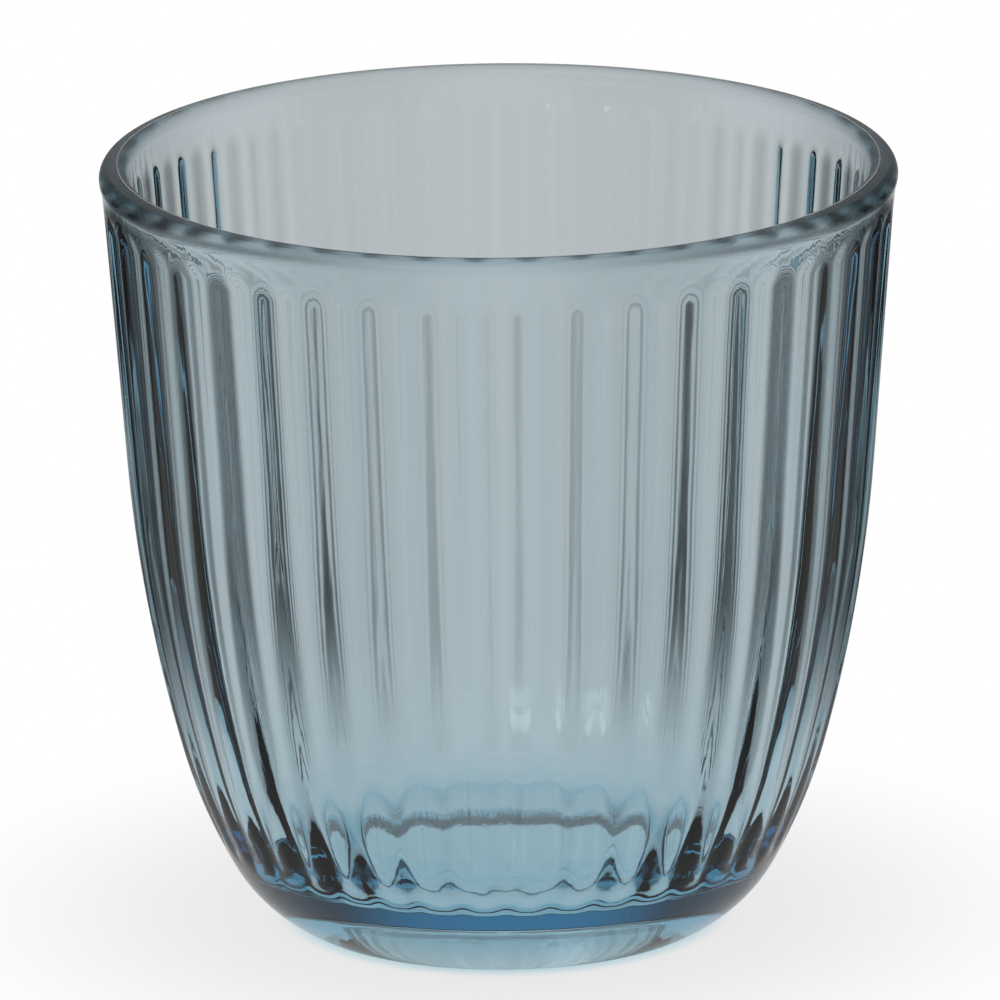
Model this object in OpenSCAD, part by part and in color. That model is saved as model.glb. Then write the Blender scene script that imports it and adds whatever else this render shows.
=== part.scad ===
// Wide-mouthed glass bud vase, pressed in one shot of blue-grey glass.
// The glass is split where the press tooling meets: the base plate shapes the base, the body mould
// the fluted body, and the ring around the plunger the lip. The three meet face to face.
// The base is a ring: its middle is a deep hollow, open below, that reaches up to the parting line.
// Origin: centre of the underside, on the plane that the vase stands on. +Z is up, and the middle of
// a flute faces -Y.

/* [Overall] */
// Height from the table to the top of the lip
height = 86.3; // [84:0.1:95]
// Height of the inside floor above the table
floor_z = 8.6; // [8.4:0.1:9.2]
// Thickness of the wall at the lip, measured level
lip_t = 3; // [2.6:0.1:3.2]

/* [Outside of the wall] */
// Diameter of the flat ring that the vase stands on
foot_d = 45.5; // [44:0.1:47]
// Radius that rounds the ring into the heel
foot_round = 2.2; // [2:0.1:3]
// Slope where that rounding ends, in degrees from level
foot_slope = 28.6; // [26:0.1:31]
// Radius of the heel, up to the parting line of the mould
heel_r = 16.7; // [16:0.1:18]
// Slope of the heel at the parting line
heel_slope = 61.3; // [60:0.1:63]
// Radius of the low part of the wall
lower_r = 62.5; // [60:0.5:65]
// Slope where the low part ends
lower_slope = 74.7; // [74:0.1:76]
// Radius of the upper part of the wall
upper_r = 165; // [155:1:170]
// Slope of the straight flare that runs up to the lip
flare_slope = 85.7; // [85.4:0.1:86]

/* [Inside of the wall] */
// Diameter of the flat of the inside floor
floor_d = 46; // [45:0.5:47]
// Radius of the corner between the floor and the wall
corner_r = 4; // [3.8:0.1:4.4]
// Slope of the inside wall where the corner ends
corner_slope = 48; // [47:0.5:50]
// Radius of the inside wall above the corner
bowl_r = 29.7; // [29:0.1:31]
// Slope where that radius ends
bowl_slope = 72.9; // [72.5:0.1:74]
// Radius of the inside wall further up
inner_r = 141.1; // [137:0.1:145]
// Slope where the inside wall turns straight
inner_slope = 85.4; // [85:0.1:85.6]

/* [Flutes] */
// Number of flutes around the body
flute_count = 42; // [30:1:42]
// Depth of a flute near its top
flute_depth = 0.55; // [0.3:0.05:0.8]
// Depth of a flute near its foot
flute_foot_depth = 0.4; // [0.2:0.05:0.6]
// Share of its pitch that a flute fills, which leaves a narrow land between flutes
flute_fill = 0.97; // [0.85:0.01:1]
// Height of the foot of the flutes above the table
flute_low = 8.8; // [8.4:0.1:14]
// Distance from the top of the lip down to the flutes
flute_top = 3.5; // [3.5:0.1:8]
// Height of the round end of a flute
flute_arch = 3; // [2:0.1:4]

/* [Lip and underside] */
// Height of the lip ring
lip_h = 3.4; // [3:0.1:3.4]
// How far the bead of the lip stands out from the flare
bead = 0.2; // [0.1:0.05:0.3]
// Radius of the bead
bead_r = 1.7; // [1.5:0.1:1.9]
// Drop from the top of the lip to the crease where the bead ends
crease_drop = 0.2; // [0.1:0.05:0.3]
// Radius of the gently domed top of the lip
crown_r = 4; // [3.5:0.1:5]
// Radius of the inner edge of the lip
edge_r = 1.2; // [1:0.1:1.3]
// Diameter of the hollow under the base, at the table
hollow_d = 41.2; // [40:0.2:42]
// Diameter of the hollow at its top, which is at the parting line
hollow_top_d = 38.8; // [37:0.2:40]

/* [Hidden] */
GLASS = [0.55, 0.68, 0.74, 0.6];
$fn = 96;
ARC_STEP = 2.5;   // degrees of turn between two points of a profile
BEAD_LOW = -30;   // angles on the bead where it leaves the flare and where the crown cuts it
BEAD_TOP = 60;
WALL_ROWS = 9;    // rows of facets between the round ends of the flutes
ROW_CROWDING = 1.3; // above 1, those rows crowd towards the foot, where the wall curves more
ARCH_ROWS = 3;    // rows of facets in a round end
// Points across one pitch, as shares of half a pitch from the middle of a flute
ACROSS = [-1, -0.7, -0.35, 0, 0.35, 0.7];
// A chain is a row of arcs [radius, slope at its end], each tangent to the one before.
FOOT_START = [foot_d / 2, 0];
FOOT_CHAIN = [[foot_round, foot_slope], [heel_r, heel_slope]];
PARTING = chain_end(FOOT_START, 0, FOOT_CHAIN);
WALL_CHAIN = [[lower_r, lower_slope], [upper_r, flare_slope]];
FLARE_START = chain_end(PARTING, heel_slope, WALL_CHAIN);
FLOOR_START = [floor_d / 2, floor_z];
INSIDE_CHAIN = [[corner_r, corner_slope], [bowl_r, bowl_slope], [inner_r, inner_slope]];
LIP_Z = height - lip_h;
LIP_OUT = flare_x(LIP_Z);
LIP_IN = LIP_OUT - lip_t;
PITCH = 360 / flute_count;
FLUTE_END = height - flute_top;

// Centre of an arc that leaves point p with slope a
function arc_centre(p, a, r) = p + r * [-sin(a), cos(a)];
// Point of an arc about c where its slope is a
function arc_point(c, a, r) = c + r * [sin(a), -cos(a)];
// Slope where arc n of a chain starts, and the point there
function chain_slope(start, chain, n) = n == 0 ? start : chain[n - 1][1];
function chain_joint(p, start, chain, n) = n == 0 ? p :
    arc_point(chain_centre(p, start, chain, n - 1), chain[n - 1][1], chain[n - 1][0]);
function chain_centre(p, start, chain, n) =
    arc_centre(chain_joint(p, start, chain, n), chain_slope(start, chain, n), chain[n][0]);
function chain_end(p, start, chain) = chain_joint(p, start, chain, len(chain));
// Points along a whole chain
function chain_points(p, start, chain) = [
    for (n = [0 : len(chain) - 1])
    let (a = chain_slope(start, chain, n), b = chain[n][1], steps = ceil((b - a) / ARC_STEP))
    for (k = [(n == 0 ? 0 : 1) : steps])
    arc_point(chain_centre(p, start, chain, n), a + (b - a) * k / steps, chain[n][0])];
// Radius of the straight flare at height z
function flare_x(z) = FLARE_START[0] + (z - FLARE_START[1]) / tan(flare_slope);
// Points of an arc about c, by angle
function round_points(c, r, from, to, steps) = [
    for (k = [0 : steps]) let (a = from + (to - from) * k / steps) c + r * [cos(a), sin(a)]];
function reversed(list) = [for (i = [len(list) - 1 : -1 : 0]) list[i]];

// Ring of glass below the parting line, with a rounded heel outside and the hollow inside
module base() {
    color(GLASS)
    rotate_extrude()
    polygon(concat(
        [[hollow_top_d / 2, PARTING[1]], [hollow_d / 2, 0]],
        chain_points(FOOT_START, 0, FOOT_CHAIN)));
}

// Radius of the outside of the wall at height z, without the flutes
function arc_x(n, z) =
    let (c = chain_centre(PARTING, heel_slope, WALL_CHAIN, n), r = WALL_CHAIN[n][0])
    arc_point(c, acos((c[1] - z) / r), r)[0];
function wall_x(z) =
    z < chain_joint(PARTING, heel_slope, WALL_CHAIN, 1)[1] ? arc_x(0, z) :
    z < FLARE_START[1] ? arc_x(1, z) : flare_x(z);
// Depth of a flute at height z, across = 0 in its middle and 1 or -1 in the middle of a land.
// The flute is a cosine wave in section, and both of its ends are round.
function flute_cut(across, z) =
    let (past = max(0, flute_low + flute_arch - z, z - FLUTE_END + flute_arch) / flute_arch,
         along = (z - flute_low) / (FLUTE_END - flute_low),
         depth = flute_foot_depth + (flute_depth - flute_foot_depth) * along,
         reach = min(1, norm([across / flute_fill, past])))
    depth * (1 + cos(180 * reach)) / 2;
// Heights of the rows of points on the fluted wall
ROW_Z = concat(
    [PARTING[1]],
    [for (k = [0 : ARCH_ROWS - 1]) flute_low + flute_arch * k / ARCH_ROWS],
    [for (k = [0 : WALL_ROWS]) flute_low + flute_arch
        + (FLUTE_END - flute_low - 2 * flute_arch) * pow(k / WALL_ROWS, ROW_CROWDING)],
    [for (k = [ARCH_ROWS - 1 : -1 : 0]) FLUTE_END - flute_arch * k / ARCH_ROWS],
    [LIP_Z]);

// Outside of the body, filled: rings of points that follow the flutes, joined by facets
module fluted_solid() {
    per_ring = flute_count * len(ACROSS);
    rings = len(ROW_Z);
    points = [for (z = ROW_Z) for (i = [0 : flute_count - 1]) for (u = ACROSS)
        let (r = wall_x(z) - flute_cut(u, z), a = (i + u / 2) * PITCH - 90) [r * cos(a), r * sin(a), z]];
    skin = [for (j = [0 : rings - 2]) for (i = [0 : per_ring - 1])
        let (low = j * per_ring, high = low + per_ring, next = (i + 1) % per_ring)
        each [[low + i, high + i, high + next], [low + i, high + next, low + next]]];
    underside = [for (i = [0 : per_ring - 1]) i];
    top = [for (i = [per_ring - 1 : -1 : 0]) (rings - 1) * per_ring + i];
    polyhedron(points, concat(skin, [underside, top]));
}

// Cup above the parting line: floor, bowl and fluted wall, up to the lip
module fluted_body() {
    color(GLASS)
    difference() {
        fluted_solid();
        rotate_extrude()
        polygon(concat(
            [[0, floor_z]],
            chain_points(FLOOR_START, 0, INSIDE_CHAIN),
            [[LIP_IN, LIP_Z], [LIP_IN, height], [0, height]]));
    }
}

// Lip: a round bead outside, a gently domed top that meets it in a crease, and a soft inner edge
module lip_ring() {
    crease_z = height - crease_drop;
    bead_z = crease_z - bead_r * sin(BEAD_TOP);
    bead_x = flare_x(bead_z) + bead - bead_r;
    crease_x = bead_x + bead_r * cos(BEAD_TOP);
    crown_angle = acos((crease_z - height + crown_r) / crown_r);
    crown_x = crease_x - crown_r * sin(crown_angle);
    color(GLASS)
    rotate_extrude()
    polygon(concat(
        [[LIP_IN, LIP_Z], [LIP_OUT, LIP_Z]],
        round_points([bead_x, bead_z], bead_r, BEAD_LOW, BEAD_TOP, 10),
        round_points([crown_x, height - crown_r], crown_r, 90 - crown_angle, 90, 3),
        round_points([flare_x(height) - lip_t + edge_r, height - edge_r], edge_r, 90, 180, 8)));
}

base();
fluted_body();
lip_ring();
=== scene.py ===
"""Looks for the fluted glass bud vase: one closed mesh of pressed glass in plain studio light."""
import math

import bpy
import numpy as np
from mathutils import Matrix, Vector


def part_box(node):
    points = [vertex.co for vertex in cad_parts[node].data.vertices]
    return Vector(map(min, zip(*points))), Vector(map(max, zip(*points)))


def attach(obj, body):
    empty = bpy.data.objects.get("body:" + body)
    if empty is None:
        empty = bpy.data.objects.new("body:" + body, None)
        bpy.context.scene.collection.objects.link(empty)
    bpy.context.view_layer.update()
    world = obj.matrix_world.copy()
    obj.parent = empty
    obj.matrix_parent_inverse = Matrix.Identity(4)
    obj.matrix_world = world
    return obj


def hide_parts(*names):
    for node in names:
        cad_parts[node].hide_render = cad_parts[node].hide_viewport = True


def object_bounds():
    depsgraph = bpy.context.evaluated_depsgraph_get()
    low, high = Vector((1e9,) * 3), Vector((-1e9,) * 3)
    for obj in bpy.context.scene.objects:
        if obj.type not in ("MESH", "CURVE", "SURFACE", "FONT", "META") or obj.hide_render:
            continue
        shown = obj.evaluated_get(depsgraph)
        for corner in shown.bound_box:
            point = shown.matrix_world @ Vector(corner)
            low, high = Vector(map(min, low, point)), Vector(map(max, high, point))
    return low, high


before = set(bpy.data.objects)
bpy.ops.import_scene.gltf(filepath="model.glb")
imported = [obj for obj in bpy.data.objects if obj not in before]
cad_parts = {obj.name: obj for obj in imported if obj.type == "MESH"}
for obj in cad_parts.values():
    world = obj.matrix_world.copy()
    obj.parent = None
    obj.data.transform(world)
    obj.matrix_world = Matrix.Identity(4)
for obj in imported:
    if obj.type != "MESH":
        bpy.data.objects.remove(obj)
CAD_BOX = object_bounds()
MM = 0.001
WHITE = (1, 1, 1, 1)

# ---------------------------------------------------------------- sizes of the glass
HEIGHT = CAD_BOX[1][2]
PARTING_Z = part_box("base")[1][2]                        # the parting line of the mould
FOOT_R = 22.75 * MM                                     # outside of the ring that the vase stands on
FOOT_CHAIN = [(2.2 * MM, 28.6), (16.7 * MM, 61.3)]      # arcs up to the parting line: radius, end slope
WALL_CHAIN = [(62.5 * MM, 74.7), (165.0 * MM, 85.7)]    # arcs from there up to the straight flare
FLOOR_R, FLOOR_Z = 23.0 * MM, 8.6 * MM                  # flat of the inside floor
INSIDE_CHAIN = [(4.0 * MM, 48.0), (29.7 * MM, 72.9), (141.1 * MM, 85.4)]

HOLLOW_R, HOLLOW_TOP_R = 20.6 * MM, 19.4 * MM           # hollow under the base, at the table and at its top
HOLLOW_ROUND, HOLLOW_FOOT_ROUND = 0.8 * MM, 0.5 * MM    # its roundings at the top and at the table
HOLLOW_LEAN = 10.0                                      # degrees by which its side leans where they end

LIP_T = 3.0 * MM
BEAD, BEAD_R = 0.2 * MM, 1.7 * MM                       # how far the bead stands out, and its radius
BEAD_LOW, BEAD_TOP = -30.0, 60.0                        # angles where the bead starts and ends
CREASE_DROP = 0.2 * MM                                  # from the top of the lip down to the end of the bead
CREASE_WIDTH = 0.03 * MM                                # half the width of the crease between bead and crown
CROWN_R, EDGE_R = 4.0 * MM, 1.2 * MM                    # top of the lip, and its inner edge

FLUTES = 42
FLUTE_TOP, FLUTE_FOOT = HEIGHT - 3.5 * MM, 8.8 * MM
FLUTE_ARCH = 3.0 * MM                                   # height of the round end of a flute
FLUTE_DEPTH, FLUTE_FOOT_DEPTH = 0.55 * MM, 0.4 * MM
FLUTE_FILL = 0.97                                       # share of its pitch that a flute fills

# ---------------------------------------------------------------- fineness of the mesh
PER_FLUTE = 12                                          # columns across one flute
BEND_STEP, WALL_STEP = 2.5, 0.8                         # degrees between two rows
STRAIGHT_GAP, ARCH_GAP, INNER_GAP = 2.2 * MM, 0.25 * MM, 3.0 * MM
HOLLOW_ROWS, HOLLOW_FOOT_ROWS = 7, 6
BEAD_ROWS, CROWN_ROWS, EDGE_ROWS = 14, 5, 10
EDGE_GAP = 2.0                                          # degrees from the last row of the crown to the edge
CEILING_RINGS, FLOOR_RINGS = 5, 6

# ---------------------------------------------------------------- surface of the glass
GLASS_IOR = 1.5
GLASS_COLOUR, GLASS_DENSITY = (0.067, 0.608, 0.80, 1), 60.0
# Roughness of the top of the lip, and how far down it reaches
LIP_WEAR, LIP_WEAR_DEPTH = 0.45, 2.5 * MM
# Roughness elsewhere, streaks that the mould leaves along the flutes, and slow unevenness of the
# pressing. Each has its amount, its waves a metre along X, Y and Z, and the detail of its noise.
HAZE, HAZE_WAVES, HAZE_DETAIL = 0.05, (120, 120, 30), 3.0
STREAK_DEPTH, STREAK_WAVES, STREAK_DETAIL = 0.012 * MM, (700, 700, 25), 2.0
SWELL_DEPTH, SWELL_WAVES, SWELL_DETAIL = 0.03 * MM, (110, 110, 70), 1.0

# ---------------------------------------------------------------- studio
# The glass sees a soft grey backdrop with darker sides. Straight to the camera the studio is white.
BACKDROPS = 4                       # evenly around the vase, one of them behind it
BACKDROP, SIDES = 0.57, 0.06        # brightness of a backdrop and of the gaps beside it
BACKDROP_HALF, FADE = 6.0, 27.0     # degrees from its middle to where it starts to fade, and the fade
LEFT_SHARE = 0.08                   # how much brighter the left is
SOFTBOX = (-0.405, -0.579, 0.707)   # direction of the softbox
SOFTBOX_LIGHT = 3.0
SOFTBOX_EDGE = (0.975, 0.99)        # cosines of the angles from its middle between which it fades
FLOOR_SIZE, FLOOR_DROP = 6.0, 0.0001
FLOOR_NEAR = 0.6                    # painted brightness of the floor that the glass sees close to the vase
PAINTED_SHADOW_LEVEL = 0.80                  # brightness of the painted shadow on the floor that the camera sees there
PAINTED_BASE_LIGHT_COLOUR = (0.52, 0.76, 0.84, 1) # colour of the painted light that reaches the floor through the base
# Distances from the axis between which the painted shadow, the painted near brightness and the painted light
# through the base give way
PAINTED_SHADOW_ENDS, NEAR_ENDS, PAINTED_BASE_LIGHT_ENDS = (0.018, 0.075), (0.03, 0.12), (0.022, 0.026)

# ---------------------------------------------------------------- camera
FRAME_WIDTH = 0.11078               # width of the view at the vase
DISTANCE = 1.6
ELEVATION = math.radians(16.05)
ROLL = math.radians(0.5)
ORBIT = math.radians(-0.34)         # how far the camera stands off the middle of the nearest flute
AIM = Vector((0, 0, 0.0472))
SIDE = 0.0013                       # how far right of the middle the vase's axis lies, in frame widths
SENSOR_WIDTH = 36.0
CLIP_START, CLIP_END = 0.1, 50


# ---------------------------------------------------------------- the vase
def arc_chain(start, slope, chain, step):
    """Points along tangent arcs. An arc is (radius, end slope); slopes are in degrees from level."""
    points = [start]
    for radius, end in chain:
        x, z = points[-1]
        a, b = math.radians(slope), math.radians(end)
        cx, cz = x - radius * math.sin(a), z + radius * math.cos(a)
        count = max(2, math.ceil((end - slope) / step))
        turns = [a + (b - a) * k / count for k in range(1, count + 1)]
        points += [(cx + radius * math.sin(t), cz - radius * math.cos(t)) for t in turns]
        slope = end
    return points


def round_points(cx, cz, radius, start, end, count):
    """Points of an arc about (cx, cz), from one angle to another in degrees."""
    angles = np.radians(np.linspace(start, end, count))
    return [(cx + radius * math.cos(a), cz + radius * math.sin(a)) for a in angles]


def toward(start, end, distance):
    """The point that lies at this distance from start on the way to end."""
    share = distance / math.dist(start, end)
    return start[0] + (end[0] - start[0]) * share, start[1] + (end[1] - start[1]) * share


def finer(points, gap):
    """The same line with its points at most gap apart."""
    out = [points[0]]
    for (x0, z0), (x1, z1) in zip(points[:-1], points[1:]):
        n = max(1, math.ceil(math.hypot(x1 - x0, z1 - z0) / gap))
        out += [(x0 + (x1 - x0) * k / n, z0 + (z1 - z0) * k / n) for k in range(1, n + 1)]
    return out


def hollow_points():
    """From near the middle of the hollow's ceiling, down its side to the ring that the vase stands on."""
    round_x = HOLLOW_TOP_R - HOLLOW_ROUND
    foot = HOLLOW_FOOT_ROUND
    ceiling = [(round_x * k / CEILING_RINGS, PARTING_Z) for k in range(1, CEILING_RINGS)]
    side = round_points(round_x, PARTING_Z - HOLLOW_ROUND, HOLLOW_ROUND, 90, HOLLOW_LEAN, HOLLOW_ROWS)
    middle = ((side[-1][0] + HOLLOW_R) / 2, side[-1][1] / 2)
    edge = round_points(HOLLOW_R + foot, foot, foot, 180 + HOLLOW_LEAN, 270, HOLLOW_FOOT_ROWS)
    return ceiling + side + [middle] + edge


def lip_points(flare_x):
    """From the start of the bead over the crown to the inner wall. flare_x is the flare's radius."""
    bead_z = HEIGHT - CREASE_DROP - BEAD_R * math.sin(math.radians(BEAD_TOP))
    bead_x = flare_x(bead_z) + BEAD - BEAD_R
    bead = round_points(bead_x, bead_z, BEAD_R, BEAD_LOW, BEAD_TOP, BEAD_ROWS)
    turn = math.acos((CROWN_R - CREASE_DROP) / CROWN_R)
    crown_x = bead[-1][0] - CROWN_R * math.sin(turn)
    crown = round_points(crown_x, HEIGHT - CROWN_R, CROWN_R, 90 - math.degrees(turn), 90, CROWN_ROWS)
    below, above = toward(bead[-1], bead[-2], CREASE_WIDTH), toward(bead[-1], crown[1], CREASE_WIDTH)
    edge_x = flare_x(HEIGHT) - LIP_T + EDGE_R
    edge = round_points(edge_x, HEIGHT - EDGE_R, EDGE_R, 90 + EDGE_GAP, 180, EDGE_ROWS)
    return bead[:-1] + [below, bead[-1], above] + crown[1:] + edge


def outline():
    """The glass in section, from the middle of the underside to the middle of the inside floor.

    The second result says which of its rows are fluted.
    """
    foot = arc_chain((FOOT_R, 0.0), 0.0, FOOT_CHAIN, BEND_STEP)
    wall = arc_chain(foot[-1], FOOT_CHAIN[-1][1], WALL_CHAIN, WALL_STEP)
    flare = math.tan(math.radians(WALL_CHAIN[-1][1]))

    def flare_x(z):
        return wall[-1][0] + (z - wall[-1][1]) / flare

    arch_z = FLUTE_TOP - FLUTE_ARCH
    straight = finer([wall[-1], (flare_x(arch_z), arch_z)], STRAIGHT_GAP)
    arch = finer([straight[-1], (flare_x(FLUTE_TOP), FLUTE_TOP)], ARCH_GAP)
    plain = hollow_points() + foot
    fluted = wall[1:] + straight[1:] + arch[1:]
    lip = lip_points(flare_x)
    inside = arc_chain((FLOOR_R, FLOOR_Z), 0.0, INSIDE_CHAIN, BEND_STEP)
    inner_wall = finer([lip[-1], inside[-1]], INNER_GAP)
    floor = [(FLOOR_R * k / FLOOR_RINGS, FLOOR_Z) for k in range(FLOOR_RINGS - 1, 0, -1)]
    rows = plain + fluted + lip + inner_wall[1:] + inside[::-1][1:] + floor
    return rows, slice(len(plain), len(plain) + len(fluted))


def flute_cut(share, z):
    """Depth of a flute; share is 0 in its middle and 1 or -1 in the middle of a land."""
    past = np.maximum(0, np.maximum(FLUTE_FOOT + FLUTE_ARCH - z, z - FLUTE_TOP + FLUTE_ARCH)) / FLUTE_ARCH
    along = np.clip((z - FLUTE_FOOT) / (FLUTE_TOP - FLUTE_FOOT), 0, 1)
    depth = FLUTE_FOOT_DEPTH + (FLUTE_DEPTH - FLUTE_FOOT_DEPTH) * along
    reach = np.minimum(1, np.sqrt((share / FLUTE_FILL) ** 2 + past ** 2))
    return depth * (1 + np.cos(np.pi * reach)) / 2


def vase_mesh():
    """The outline turned about Z in columns, the first of them in the middle of the flute that faces -Y."""
    rows, fluted = outline()
    line = np.array(rows)
    n = len(line)
    columns = FLUTES * PER_FLUTE
    column = np.arange(columns)
    share = (column % PER_FLUTE / PER_FLUTE * 2 + 1) % 2 - 1
    angle = column * 2 * math.pi / columns - math.pi / 2
    r = np.repeat(line[:, :1], columns, axis=1)
    z = np.repeat(line[:, 1:], columns, axis=1)
    r[fluted] -= flute_cut(share, z[fluted])
    verts = np.stack([r * np.cos(angle), r * np.sin(angle), z], axis=-1).reshape(-1, 3)
    verts = np.vstack([verts, [[0, 0, PARTING_Z], [0, 0, FLOOR_Z]]])
    row, here = np.meshgrid(np.arange(n - 1) * columns, column, indexing="ij")
    there = (here + 1) % columns
    quads = np.stack([row + here, row + there, row + columns + there, row + columns + here], -1)
    faces = quads.reshape(-1, 4).tolist()
    underside, floor, floor_ring = n * columns, n * columns + 1, (n - 1) * columns
    faces += [[underside, (k + 1) % columns, k] for k in range(columns)]
    faces += [[floor, floor_ring + k, floor_ring + (k + 1) % columns] for k in range(columns)]
    mesh = bpy.data.meshes.new("vase_glass")
    mesh.from_pydata(verts.tolist(), [], faces)
    mesh.update()
    for polygon in mesh.polygons:
        polygon.use_smooth = True
    return mesh


# ---------------------------------------------------------------- nodes
def wire(tree):
    """A function that adds a maths node: numbers become its settings, sockets are linked."""
    def add(operation, *values):
        node = tree.nodes.new("ShaderNodeMath")
        node.operation = operation
        for socket, value in zip(node.inputs, values):
            feed(tree, socket, value)
        return node.outputs[0]
    return add


def feed(tree, socket, value):
    """Sets a socket to a number, or links it to another socket."""
    if isinstance(value, (int, float)):
        socket.default_value = value
    else:
        tree.links.new(value, socket)


def step(tree, value, start, end, low, high):
    """Low where the value is below start, high where it is above end, and a smooth step between."""
    node = tree.nodes.new("ShaderNodeMapRange")
    node.interpolation_type = "SMOOTHSTEP"
    tree.links.new(value, node.inputs["Value"])
    for name, number in (("From Min", start), ("From Max", end), ("To Min", low), ("To Max", high)):
        node.inputs[name].default_value = number
    return node.outputs["Result"]


def parts_of(tree, vector):
    """The X, Y and Z of a vector."""
    split = tree.nodes.new("ShaderNodeSeparateXYZ")
    tree.links.new(vector, split.inputs[0])
    return split.outputs


def noise(tree, waves, detail):
    """Noise over the vase, with its waves a metre along X, Y and Z."""
    place = tree.nodes.new("ShaderNodeTexCoord")
    stretch = tree.nodes.new("ShaderNodeVectorMath")
    stretch.operation = "MULTIPLY"
    tree.links.new(place.outputs["Object"], stretch.inputs[0])
    stretch.inputs[1].default_value = waves
    texture = tree.nodes.new("ShaderNodeTexNoise")
    texture.inputs["Scale"].default_value = 1.0
    texture.inputs["Detail"].default_value = detail
    tree.links.new(stretch.outputs[0], texture.inputs["Vector"])
    return texture.outputs["Fac"]


def bump(tree, height, distance, before=None):
    """The normal that a height gives, on top of the bump before it."""
    node = tree.nodes.new("ShaderNodeBump")
    node.inputs["Distance"].default_value = distance
    tree.links.new(height, node.inputs["Height"])
    if before:
        tree.links.new(before, node.inputs["Normal"])
    return node.outputs["Normal"]


def glass_material():
    mat = bpy.data.materials.new("pressed_glass")
    mat.use_nodes = True
    tree = mat.node_tree
    bsdf = tree.nodes["Principled BSDF"]
    bsdf.inputs["Base Color"].default_value = WHITE
    bsdf.inputs["Transmission Weight"].default_value = 1.0
    bsdf.inputs["IOR"].default_value = GLASS_IOR
    add = wire(tree)
    place = tree.nodes.new("ShaderNodeTexCoord")
    z = parts_of(tree, place.outputs["Object"])["Z"]
    worn = step(tree, z, HEIGHT - LIP_WEAR_DEPTH, HEIGHT, 0.0, LIP_WEAR)
    haze = add("MULTIPLY", noise(tree, HAZE_WAVES, HAZE_DETAIL), HAZE)
    tree.links.new(add("ADD", worn, haze), bsdf.inputs["Roughness"])
    streaks = bump(tree, noise(tree, STREAK_WAVES, STREAK_DETAIL), STREAK_DEPTH)
    swell = bump(tree, noise(tree, SWELL_WAVES, SWELL_DETAIL), SWELL_DEPTH, streaks)
    tree.links.new(swell, bsdf.inputs["Normal"])
    absorb = tree.nodes.new("ShaderNodeVolumeAbsorption")
    absorb.inputs["Color"].default_value = GLASS_COLOUR
    absorb.inputs["Density"].default_value = GLASS_DENSITY
    tree.links.new(absorb.outputs["Volume"], tree.nodes["Material Output"].inputs["Volume"])
    return mat


def backdrop_light(tree, x, y):
    """Brightness of the studio in the level direction (x, y)."""
    add = wire(tree)
    around = add("COSINE", add("MULTIPLY", add("ARCTAN2", x, y), BACKDROPS))
    full = math.cos(math.radians(BACKDROP_HALF * BACKDROPS))
    gone = math.cos(math.radians((BACKDROP_HALF + FADE) * BACKDROPS))
    return step(tree, around, gone, full, SIDES, BACKDROP)


def seen_straight(tree, straight, through):
    """One brightness for the camera and another for the glass."""
    path = tree.nodes.new("ShaderNodeLightPath")
    mix = tree.nodes.new("ShaderNodeMix")
    feed(tree, mix.inputs["Factor"], path.outputs["Is Camera Ray"])
    feed(tree, mix.inputs["A"], through)
    feed(tree, mix.inputs["B"], straight)
    return mix.outputs["Result"]


def floor_material():
    mat = bpy.data.materials.new("pale_floor")
    mat.use_nodes = True
    tree = mat.node_tree
    tree.nodes.remove(tree.nodes["Principled BSDF"])
    add = wire(tree)
    place = tree.nodes.new("ShaderNodeNewGeometry")
    x, y, _ = parts_of(tree, place.outputs["Position"])
    away = add("SQRT", add("ADD", add("MULTIPLY", x, x), add("MULTIPLY", y, y)))
    # Painted shadow: the camera sees the glowing floor darker close to the vase.
    painted_shadow = step(tree, away, *PAINTED_SHADOW_ENDS, PAINTED_SHADOW_LEVEL, 1.0)
    # Painted light: for the glass, the floor glows at a set brightness near the vase and, further out, as
    # bright as the backdrop in its direction.
    change = add("SUBTRACT", backdrop_light(tree, x, y), FLOOR_NEAR)
    light = add("ADD", add("MULTIPLY", change, step(tree, away, *NEAR_ENDS, 0.0, 1.0)), FLOOR_NEAR)
    # Painted light: a blue pool glows on the floor under the base, where light through the glass would fall.
    painted_base_light = tree.nodes.new("ShaderNodeMix")
    painted_base_light.data_type = "RGBA"
    painted_base_light.inputs["A"].default_value = PAINTED_BASE_LIGHT_COLOUR
    painted_base_light.inputs["B"].default_value = WHITE
    tree.links.new(step(tree, away, *PAINTED_BASE_LIGHT_ENDS, 0.0, 1.0), painted_base_light.inputs["Factor"])
    glow = tree.nodes.new("ShaderNodeEmission")
    tree.links.new(painted_base_light.outputs["Result"], glow.inputs["Color"])
    tree.links.new(seen_straight(tree, painted_shadow, light), glow.inputs["Strength"])
    tree.links.new(glow.outputs[0], tree.nodes["Material Output"].inputs["Surface"])
    return mat


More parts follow.
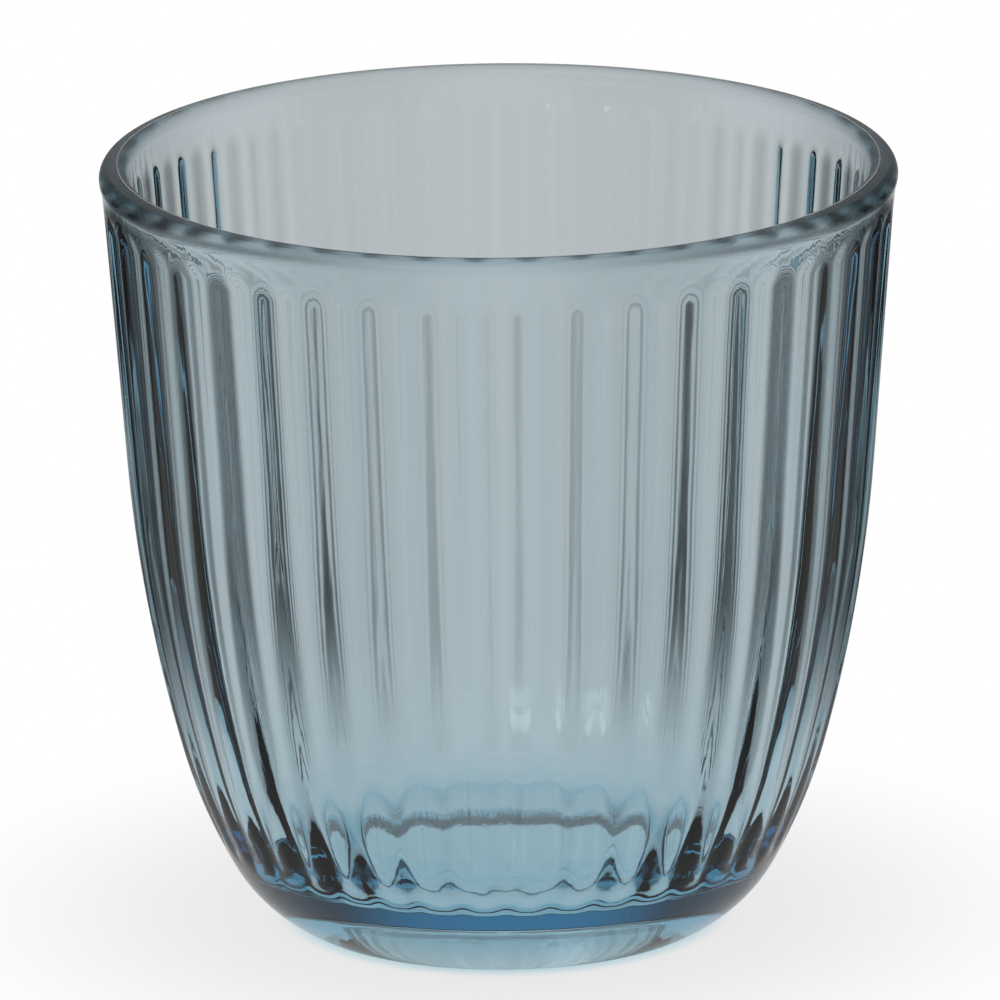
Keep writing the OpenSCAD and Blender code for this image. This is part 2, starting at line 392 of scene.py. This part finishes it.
def studio_world():
    world = bpy.data.worlds.new("studio")
    world.use_nodes = True
    tree = world.node_tree
    add = wire(tree)
    direction = tree.nodes.new("ShaderNodeTexCoord")
    x, y, z = parts_of(tree, direction.outputs["Generated"])
    around = backdrop_light(tree, x, y)
    around = add("MULTIPLY", around, add("SUBTRACT", 1.0, add("MULTIPLY", x, LEFT_SHARE)))
    level = add("ADD", add("MULTIPLY", x, SOFTBOX[0]), add("MULTIPLY", y, SOFTBOX[1]))
    facing = add("ADD", level, add("MULTIPLY", z, SOFTBOX[2]))
    light = add("ADD", around, step(tree, facing, *SOFTBOX_EDGE, 0.0, SOFTBOX_LIGHT))
    background = tree.nodes["Background"]
    background.inputs["Color"].default_value = WHITE
    tree.links.new(seen_straight(tree, 1.0, light), background.inputs["Strength"])
    return world


# ---------------------------------------------------------------- the scene
def add_object(name, data):
    thing = bpy.data.objects.new(name, data)
    bpy.context.scene.collection.objects.link(thing)
    return thing


def floor_mesh():
    s = FLOOR_SIZE
    mesh = bpy.data.meshes.new("floor")
    mesh.from_pydata([(-s, -s, 0), (s, -s, 0), (s, s, 0), (-s, s, 0)], [], [(0, 1, 2, 3)])
    mesh.materials.append(floor_material())
    return mesh


def stand_camera():
    lens = bpy.data.cameras.new("camera")
    lens.sensor_width = SENSOR_WIDTH
    lens.lens = SENSOR_WIDTH * DISTANCE / FRAME_WIDTH
    lens.clip_start = CLIP_START
    lens.clip_end = CLIP_END
    camera = add_object("camera", lens)
    turn = Matrix.Rotation(math.pi / 2 - ELEVATION, 4, "X") @ Matrix.Rotation(-ROLL, 4, "Z")
    stand = turn.to_3x3() @ Vector((-SIDE * FRAME_WIDTH, 0, DISTANCE))
    camera.matrix_world = Matrix.Rotation(ORBIT, 4, "Z") @ Matrix.Translation(AIM + stand) @ turn
    return camera


vase = add_object("vase", vase_mesh())
vase.data.materials.append(glass_material())
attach(vase, "root")
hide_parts("base", "fluted_body", "lip_ring")

floor = add_object("floor", floor_mesh())
floor.location.z = -FLOOR_DROP

bpy.context.scene.world = studio_world()
bpy.context.scene.camera = stand_camera()
bpy.context.scene.view_settings.view_transform = "Standard"
